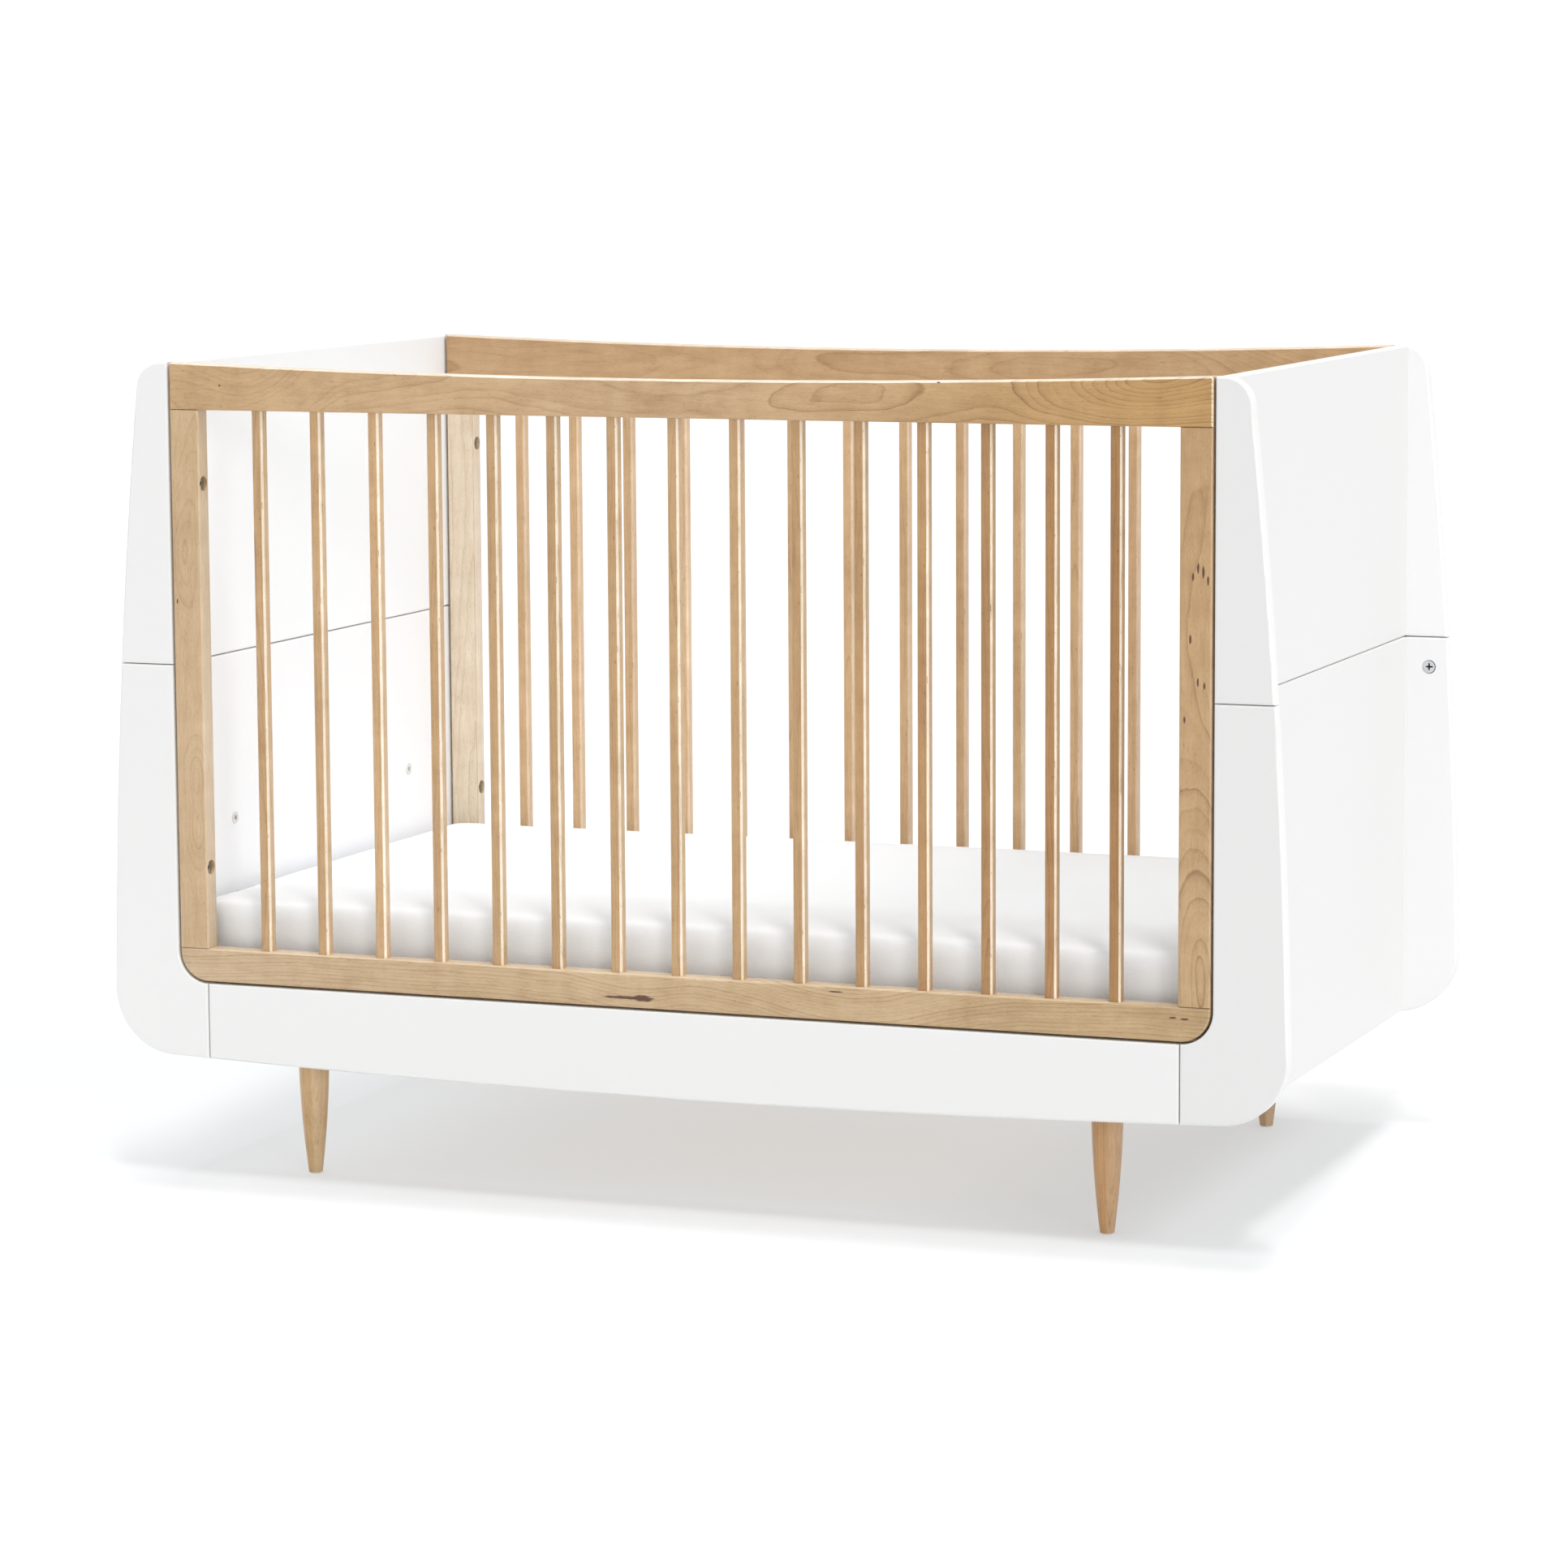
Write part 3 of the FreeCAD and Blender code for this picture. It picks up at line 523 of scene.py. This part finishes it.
# Dark marks on the front pieces: place, across, half length, half width.
TOP_RAIL_MARKS = ((-0.533, 0.8834, 0.0016, 0.0011), (0.30, 0.898, 0.002, 0.0008))
BOTTOM_RAIL_MARKS = (
    (-0.055, 0.2328, 0.032, 0.0020), (-0.038, 0.2331, 0.013, 0.0040),
    (0.555, 0.2472, 0.004, 0.0012), (0.568, 0.2463, 0.005, 0.0012),
    (0.183, 0.2530, 0.009, 0.0010),
)
LEFT_STILE_MARKS = ((0.645, -0.590, 0.003, 0.0010),)
RIGHT_STILE_MARKS = (
    (0.713, 0.5800, 0.006, 0.0014), (0.709, 0.5855, 0.007, 0.0014),
    (0.704, 0.5745, 0.005, 0.0014), (0.700, 0.5905, 0.005, 0.0013),
    (0.640, 0.5720, 0.005, 0.0014), (0.596, 0.5800, 0.005, 0.0013),
    (0.592, 0.5870, 0.004, 0.0013), (0.557, 0.5660, 0.004, 0.0013),
)


def dress_rails():
    dress(
        "front_top_rail", "x", 3, ((194, 161, 119), (198, 166, 128), (188, 148, 90)),
        heart=(0.012, 0.060), drift=(0.028, 0.030), lines=(0.6, 1.9), gloss=0.65,
        bumps=(
            (-0.500, 0.130, 0.052, -0.010), (0.640, 0.300, -0.010, -0.068),
            (0.0, 0.25, 0.03, 0.0),
        ),
        specks=TOP_RAIL_MARKS,
    )
    dress(
        "front_bottom_rail", "x", 11, ((198, 172, 139), (199, 172, 136), (187, 158, 117)),
        heart=(-0.090, 0.030), drift=(0.022, 0.020), ring=0.0042, lines=(1.5, 1.6),
        bumps=((-0.050, 0.090, 0.010, 0.0), (0.20, 0.20, 0.03, 0.0)),
        specks=BOTTOM_RAIL_MARKS,
    )
    dress(
        "rear_top_rail", "x", 29, ((195, 159, 117), (197, 161, 118), (199, 163, 120)),
        heart=(0.0, 0.045), drift=(0.030, 0.040), bumps=((0.55, 0.25, 0.04, 0.0),), gloss=0.45,
    )
    dress(
        "rear_bottom_rail", "x", 37, ((203, 172, 134), (201, 169, 129), (199, 166, 124)),
        heart=(0.070, 0.030), drift=(0.022, 0.025),
    )


def dress_stiles():
    # The right-hand side of the front left stile is painted lighter, as painted light.
    dress(
        "front_left_stile", "z", 41, ((201, 173, 138), (200, 171, 135), (198, 169, 131)),
        heart=(0.012, 0.034), drift=(0.020, 0.022), along=UPRIGHT, contrast=0.8,
        bumps=((0.42, 0.10, 0.0, -0.020), (0.70, 0.12, 0.012, -0.016)),
        side=(1.10, 1.22, 1.42), specks=LEFT_STILE_MARKS,
    )
    dress(
        "front_right_stile", "z", 53, ((191, 159, 119), (189, 155, 112), (185, 149, 104)),
        heart=(0.006, 0.085), drift=(0.008, 0.014), along=UPRIGHT, ring=0.0062,
        bumps=((0.230, 0.360, 0.0, -0.080), (0.62, 0.20, 0.030, 0.0)),
        lines=(2.1, 0.9), fleck=0.45, specks=RIGHT_STILE_MARKS,
    )
    # Painted light: the faces of the rear left stile that look to the front and right are painted
    # as the palest wood.
    painted_light_tint = (1.26, 1.46, 1.86)
    dress(
        "rear_left_stile", "z", 61, ((208, 182, 146), (209, 182, 147), (208, 181, 147)),
        heart=(0.020, 0.050), drift=(0.014, 0.024), along=UPRIGHT, contrast=0.8,
        side=painted_light_tint, face=painted_light_tint,
    )
    dress(
        "rear_right_stile", "z", 68, ((208, 180, 142), (207, 179, 141), (206, 178, 140)),
        heart=(0.020, 0.050), drift=(0.014, 0.024), along=UPRIGHT, contrast=0.8,
    )


SLATS = 15
# The colours of a row run from its first slat to its last, numbered from the middle.
ROW = (-7.0, 7.0)


def dress_slats():
    names = ["front_slat_%02d" % n for n in range(1, SLATS + 1)]
    pitch = middle(names[1]).x - middle(names[0]).x
    low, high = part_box(names[0])
    width = high.x - low.x
    # Painted light: the front slats have lighter right-hand sides, darker fronts and a strong
    # painted highlight on their front edges.
    assign(wood(
        "beech_front_slats", "z", 71, ((202, 171, 133), (200, 169, 130), (175, 134, 83)),
        centre=(0.0, middle(names[0]).y), heart=(0.020, 0.020), drift=(0.020, 0.020),
        pitch=pitch, along=ROW, ring=0.0036, contrast=1.1, fleck=0.60, gloss=0.75,
        side=(1.12, 1.18, 1.28), face=(0.93, 0.88, 0.80),
    ), *names)
    low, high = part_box("rear_slats")
    pitch = (high.x - low.x - width) / (SLATS - 1)
    # Painted light: the rear slats have slightly lighter right-hand sides, slightly darker fronts
    # and a weaker painted highlight.
    assign(wood(
        "beech_rear_slats", "z", 83, ((212, 180, 142), (210, 177, 138), (206, 172, 132)),
        centre=(0.0, middle("rear_slats").y), heart=(0.020, 0.020), drift=(0.020, 0.020),
        pitch=pitch, along=ROW, ring=0.0036, fleck=0.45, gloss=0.32,
        side=(1.06, 1.08, 1.12), face=(0.96, 0.93, 0.88),
    ), "rear_slats")


LEG_TONES = {
    "front_left_leg": (198, 162, 113),
    "front_right_leg": (192, 147, 95),
    "rear_left_leg": (192, 156, 118),
    "rear_right_leg": (184, 149, 113),
}


def dress_legs():
    for number, (name, tone) in enumerate(LEG_TONES.items()):
        dress(
            name, "z", 97 + 5 * number, (tone, tone, tone), heart=(0.012, 0.018),
            drift=(0.006, 0.006), ring=0.0040, along=(0.0, 0.16), gloss=0.10,
        )


BARE_BEECH = ((216, 196, 168), (218, 199, 172), (217, 198, 170))
BASE_DEPTH = (-0.35, 0.35)
BASE_SLAT_PITCH = 0.080


def dress_base():
    for number, name in enumerate(("base_front_rail", "base_rear_rail")):
        dress(name, "x", 113 + 6 * number, BARE_BEECH, heart=(0.05, 0.03), drift=(0.02, 0.02))
    for number, name in enumerate(("base_left_rail", "base_right_rail")):
        dress(
            name, "y", 127 + 6 * number, BARE_BEECH, heart=(0.04, 0.03), drift=(0.02, 0.02),
            along=BASE_DEPTH,
        )
    assign(wood(
        "beech_base_slats", "y", 139, BARE_BEECH, centre=(0.0, middle("base_slats").z),
        heart=(0.02, 0.05), drift=(0.02, 0.03), pitch=BASE_SLAT_PITCH, along=BASE_DEPTH,
    ), "base_slats")
    assign(wood(
        "beech_dowels", "x", 149, BARE_BEECH, heart=(0.01, 0.02), ring=0.003,
    ), "dowels")


WHITE = (234, 234, 233)
# A white painted greyer as shade, for faces that get less light.
SHADED_WHITE = (227, 227, 226)
BOARDS = (
    "front_right_upper_post", "front_left_upper_post", "rear_right_upper_post",
    "rear_left_upper_post", "front_right_lower_post", "front_left_lower_post",
    "rear_right_lower_post", "rear_left_lower_post", "right_upper_panel",
    "left_upper_panel", "right_lower_panel", "left_lower_panel", "right_leg_board",
    "left_leg_board", "front_apron", "rear_apron",
)
BOARD_SEED_STEP = 1.7
# Painted light and shade: boards with one face painted a little paler or greyer than the rest,
# for how light falls on it: the axis and the sign of that face's direction, and its colour.
X, Y = 0, 1
PAINTED_LIGHT_FACES = {
    "left_upper_panel": (X, 1.0, (249, 252, 255)),
    "left_lower_panel": (X, 1.0, (248, 250, 253)),
    "right_upper_panel": (X, 1.0, SHADED_WHITE),
    "right_lower_panel": (X, 1.0, SHADED_WHITE),
    "front_right_upper_post": (Y, -1.0, SHADED_WHITE),
    "front_right_lower_post": (Y, -1.0, SHADED_WHITE),
    "rear_right_upper_post": (Y, -1.0, (247, 247, 247)),
    "rear_right_lower_post": (Y, -1.0, (245, 245, 245)),
}


def dress_boards():
    for number, name in enumerate(BOARDS):
        seed = BOARD_SEED_STEP * number
        assign(paint("enamel_" + name, WHITE, seed, PAINTED_LIGHT_FACES.get(name)), name)


def dress_fittings():
    low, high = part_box("seam_cams")
    radius = (high.z - low.z) / 2.0
    centre = high.x - radius
    assign(cam_metal("chrome_cams", (centre, middle("seam_cams").z), radius), "seam_cams")
    steel = metal("zinc_steel", (176, 172, 166), rough=0.30, scale=140.0, seed=0.7)
    assign(steel, "side_bolts", "side_inserts", "seam_bolts", "base_bolts", "leg_bolts", "leg_nuts")
    assign(nylon("nylon_inserts", (226, 226, 224)), "base_inserts", "floor_glides")


# ---------------------------------------------------------------- mattress
# All in metres: the rounding of the edges and the upright corners, how much smaller the pad
# starts, the remesh, and how far the cloth may push a point out.
MATTRESS_EDGE = 0.009
MATTRESS_CORNER = 0.016
MATTRESS_START = 0.003
VOXEL = 0.009
CAP = 0.0028
PRESSURE = 2.0
CLOTH_FRAMES = 20
COTTON = (243, 246, 249)


def rounded_block(low, high, edge, corner):
    """A closed block with round vertical corners and softly rounded top and bottom edges."""
    mesh = bmesh.new()
    size = high - low
    bmesh.ops.create_cube(mesh, size=1.0)
    for vertex in mesh.verts:
        vertex.co = Vector((vertex.co.x * size.x, vertex.co.y * size.y, vertex.co.z * size.z))
        vertex.co += (low + high) / 2.0
    upright = [e for e in mesh.edges if abs(e.verts[0].co.z - e.verts[1].co.z) > size.z * 0.5]
    bmesh.ops.bevel(mesh, geom=upright, offset=corner, segments=8, profile=0.5, affect="EDGES")
    flat = [e for e in mesh.edges if abs(e.verts[0].co.z - e.verts[1].co.z) < 1e-6]
    rim = [e for e in flat if len(e.link_faces) == 2 and e.calc_face_angle(0.0) > 1.0]
    bmesh.ops.bevel(mesh, geom=rim, offset=edge, segments=6, profile=0.5, affect="EDGES")
    return mesh


def swell(piece, cap):
    """Blows the piece up as cloth, with gravity off, and keeps every point within cap."""
    start = np.array([v.co for v in piece.data.vertices], float)
    cloth = piece.modifiers.new("cloth", "CLOTH")
    cloth.settings.quality = 4
    cloth.settings.mass = 0.3
    cloth.settings.tension_stiffness = 12.0
    cloth.settings.compression_stiffness = 12.0
    cloth.settings.shear_stiffness = 6.0
    cloth.settings.bending_stiffness = 1.5
    cloth.settings.use_pressure = True
    cloth.settings.uniform_pressure_force = PRESSURE
    cloth.settings.effector_weights.gravity = 0.0
    cloth.collision_settings.use_collision = False
    cloth.point_cache.frame_start = 1
    cloth.point_cache.frame_end = CLOTH_FRAMES
    for step in range(1, CLOTH_FRAMES + 1):
        scene.frame_set(step)
    evaluated = piece.evaluated_get(bpy.context.evaluated_depsgraph_get())
    swollen = np.array([v.co for v in evaluated.data.vertices], float)
    piece.modifiers.remove(cloth)
    scene.frame_set(1)
    shift = swollen - start
    length = np.maximum(np.linalg.norm(shift, axis=1), 1e-9)
    shift *= (cap * np.tanh(length / cap) / length)[:, None]
    piece.data.vertices.foreach_set("co", (start + shift).ravel())
    piece.data.update()


def apply_modifiers(piece):
    """Gives the piece the mesh that its modifiers make, and takes them off."""
    evaluated = piece.evaluated_get(bpy.context.evaluated_depsgraph_get())
    fresh = bpy.data.meshes.new_from_object(evaluated)
    piece.modifiers.clear()
    old = piece.data
    piece.data = fresh
    bpy.data.meshes.remove(old)


CROWN = 0.004
# Gathers at the corners: where they start, as a share of the half length and half width, the
# point they fan out from, how many there are to a turn, and how deep they are.
GATHER_START = (0.88, 0.80)
GATHER_CENTRE = (0.92, 0.85)
GATHERS = 9.0
GATHER_DEPTH = 0.0016
SIDE_START = 0.95
SIDE_WAVE = 0.0012
# How far the shaped cover may stand past the CAD mattress.
PAST_X = 0.001
PAST_Y = 0.002


def ease(value, start):
    """0 up to start and 1 at the rim, straight in between."""
    return np.clip((np.abs(value) - start) / (1.0 - start), 0, 1)


def shape_cover(pad, low, high):
    """The crown of the top, the pull of the corners and the gathers of a fitted cover."""
    points = np.array([v.co for v in pad.data.vertices], float)
    centre = np.array((low + high) / 2.0)
    half = np.array((high - low) / 2.0)
    x, y, z = ((points - centre) / half).T
    inner = np.clip(1.0 - x ** 2, 0.0, 1.0) * np.clip(1.0 - y ** 2, 0.0, 1.0)
    top = np.clip((z + 1.0) / 2.0, 0.0, 1.0)
    points[:, 2] += CROWN * top * np.sqrt(inner)
    # Gathers run down the corners, where the cover is drawn in.
    corner = ease(x, GATHER_START[0]) * ease(y, GATHER_START[1])
    side = np.clip(1.0 - np.abs(z), 0.0, 1.0)
    angle = np.arctan2(np.abs(y) - GATHER_CENTRE[1], np.abs(x) - GATHER_CENTRE[0])
    fold = np.sin(angle * GATHERS + z * 1.5) * GATHER_DEPTH * corner * (0.4 + 0.6 * side)
    outward = np.stack((np.sign(x), np.sign(y), np.zeros(len(points))), 1) / math.sqrt(2.0)
    points += outward * fold[:, None]
    # Slow, shallow unevenness of the sides, and a flat underside on the slats.
    wave = np.sin(points[:, 0] * 23.0 + 0.7) * np.sin(points[:, 0] * 9.1 + 2.0)
    points[:, 1] -= np.sign(y) * ease(y, SIDE_START) * SIDE_WAVE * (1.0 + wave)
    points[:, 2] = np.maximum(points[:, 2], low.z)
    points[:, 1] = np.clip(points[:, 1], low.y - PAST_Y, high.y + PAST_Y)
    points[:, 0] = np.clip(points[:, 0], low.x - PAST_X, high.x + PAST_X)
    pad.data.vertices.foreach_set("co", points.ravel())
    pad.data.update()


def make_mattress():
    low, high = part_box("mattress")
    inset = Vector((MATTRESS_START, MATTRESS_START, MATTRESS_START))
    block = rounded_block(low + inset, high - inset, MATTRESS_EDGE, MATTRESS_CORNER)
    data = bpy.data.meshes.new("mattress_pad")
    block.to_mesh(data)
    block.free()
    pad = bpy.data.objects.new("mattress_pad", data)
    scene.collection.objects.link(pad)
    remesh = pad.modifiers.new("remesh", "REMESH")
    remesh.mode = "VOXEL"
    remesh.voxel_size = VOXEL
    remesh.use_smooth_shade = True
    apply_modifiers(pad)
    swell(pad, CAP)
    shape_cover(pad, low, high)
    fine = pad.modifiers.new("fine", "SUBSURF")
    fine.levels = 1
    fine.render_levels = 1
    apply_modifiers(pad)
    for polygon in pad.data.polygons:
        polygon.use_smooth = True
    pad.data.materials.append(knit("cotton_cover", COTTON, low.y))
    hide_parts("mattress")
    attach(pad, "mattress")


# ---------------------------------------------------------------- studio
FLOOR_SIZE = 40.0
FLOOR_TONES = ((0.415, 0.418, 0.425, 1.0), (0.430, 0.433, 0.440, 1.0))
FLOOR_GLOW = 0.498
FLOOR_GLOW_TINT = (0.985, 1.0, 1.01, 1.0)
# How much less the floor glows under the crib, towards its right end, its front and its left end.
SHADE_RIGHT = 0.11
SHADE_FRONT = 0.14
SHADE_LEFT = 0.05


def glow(s):
    """The floor's own light, which fades where the crib's soft shadow lies."""
    x, y, _ = s.split(s.places)
    right = s.fit(s.add(x, s.mul(y, 0.10)), 0.655, 0.600)
    left = s.fit(s.add(x, s.mul(y, 0.22)), -0.800, -0.660)
    inside = s.mul(s.mul(right, left), s.mul(s.fit(y, -0.480, -0.405), s.fit(y, 0.650, 0.550)))
    at_right = s.fit(x, 0.15, 0.55, 0.0, SHADE_RIGHT)
    at_front = s.fit(y, -0.29, -0.40, 0.0, SHADE_FRONT)
    at_left = s.fit(x, -0.52, -0.70, 0.0, SHADE_LEFT)
    deepest = s.math("MAXIMUM", s.math("MAXIMUM", at_right, at_front), at_left)
    return s.sub(FLOOR_GLOW, s.mul(inside, deepest))


def make_floor():
    data = bpy.data.meshes.new("studio_floor")
    mesh = bmesh.new()
    bmesh.ops.create_grid(mesh, x_segments=8, y_segments=8, size=FLOOR_SIZE)
    mesh.to_mesh(data)
    mesh.free()
    floor = bpy.data.objects.new("studio_floor", data)
    scene.collection.objects.link(floor)
    s = Shade("studio_floor")
    mottle = s.noise(s.places, scale=4.0, detail=3.0)
    s.plug(s.surface.inputs["Emission Strength"], glow(s))
    floor.data.materials.append(s.finish(
        s.blend(mottle, *FLOOR_TONES), 0.85,
        Emission_Color=FLOOR_GLOW_TINT, Specular_IOR_Level=0.0,
    ))


# The overhead box is a row of suns, whose travel and share of the light run from first to last.
SUNS = 7
SUN_TOTAL = 1.50
SUN_SOFTNESS = 5.0
SUN_FIRST = Vector((0.040, -0.110, -0.900))
SUN_STEP = Vector((-0.200, 0.350, 0.0))
SUN_SHARES = (0.6, 0.8)
LIGHT_TINT = (1.0, 0.995, 0.985)
# Soft boxes to the right: turn from the front, height above the floor, strength, softness.
SIDE_LIGHTS = ((42.0, 14.0, 0.36, 12.0), (80.0, 46.0, 0.98, 24.0))
SKY_LEFT = 0.84
SKY_RIGHT = 0.56
SKY_SEEN = 1.05
PURE_WHITE = (1.0, 1.0, 1.0, 1.0)


def add_sun(name, travel, energy, spread):
    data = bpy.data.lights.new(name, "SUN")
    data.energy = energy
    data.angle = math.radians(spread)
    data.color = LIGHT_TINT
    lamp = bpy.data.objects.new(name, data)
    scene.collection.objects.link(lamp)
    lamp.rotation_mode = "QUATERNION"
    lamp.rotation_quaternion = travel.to_track_quat("-Z", "Y")


def make_lights():
    """A long soft box overhead, reaching from just behind the object to well in front and right,
    and two softer ones to the right."""
    for step in range(SUNS):
        share = step / (SUNS - 1)
        energy = SUN_TOTAL / SUNS * (SUN_SHARES[0] + SUN_SHARES[1] * share)
        add_sun("overhead_%d" % step, SUN_FIRST + SUN_STEP * share, energy, SUN_SOFTNESS)
    for number, (turn, height, energy, softness) in enumerate(SIDE_LIGHTS):
        turn, height = math.radians(turn), math.radians(height)
        travel = Vector((
            -math.sin(turn) * math.cos(height),
            math.cos(turn) * math.cos(height),
            -math.sin(height),
        ))
        add_sun("side_%d" % number, travel, energy, softness)


def make_room():
    """A pale room, a little brighter on the left, that the camera sees as plain white."""
    world = bpy.data.worlds.new("studio")
    scene.world = world
    world.use_nodes = True
    tree = world.node_tree
    tree.nodes.clear()
    output = tree.nodes.new("ShaderNodeOutputWorld")
    mix = tree.nodes.new("ShaderNodeMixShader")
    seen = tree.nodes.new("ShaderNodeLightPath")
    light = tree.nodes.new("ShaderNodeBackground")
    shown = tree.nodes.new("ShaderNodeBackground")
    places = tree.nodes.new("ShaderNodeTexCoord")
    axes = tree.nodes.new("ShaderNodeSeparateXYZ")
    shape = tree.nodes.new("ShaderNodeMapRange")
    light.inputs[0].default_value = PURE_WHITE
    shown.inputs[0].default_value = PURE_WHITE
    shown.inputs[1].default_value = SKY_SEEN
    for socket, value in zip(shape.inputs[1:5], (-1.0, 1.0, SKY_LEFT, SKY_RIGHT)):
        socket.default_value = value
    tree.links.new(places.outputs["Generated"], axes.inputs[0])
    tree.links.new(axes.outputs[0], shape.inputs[0])
    tree.links.new(shape.outputs[0], light.inputs[1])
    tree.links.new(seen.outputs["Is Camera Ray"], mix.inputs[0])
    tree.links.new(light.outputs[0], mix.inputs[1])
    tree.links.new(shown.outputs[0], mix.inputs[2])
    tree.links.new(mix.outputs[0], output.inputs[0])
    scene.view_settings.view_transform = "Standard"
    scene.view_settings.look = "None"


make_camera()
make_lights()
make_room()
make_floor()
dress_boards()
dress_rails()
dress_stiles()
dress_slats()
dress_legs()
dress_base()
dress_fittings()
make_mattress()
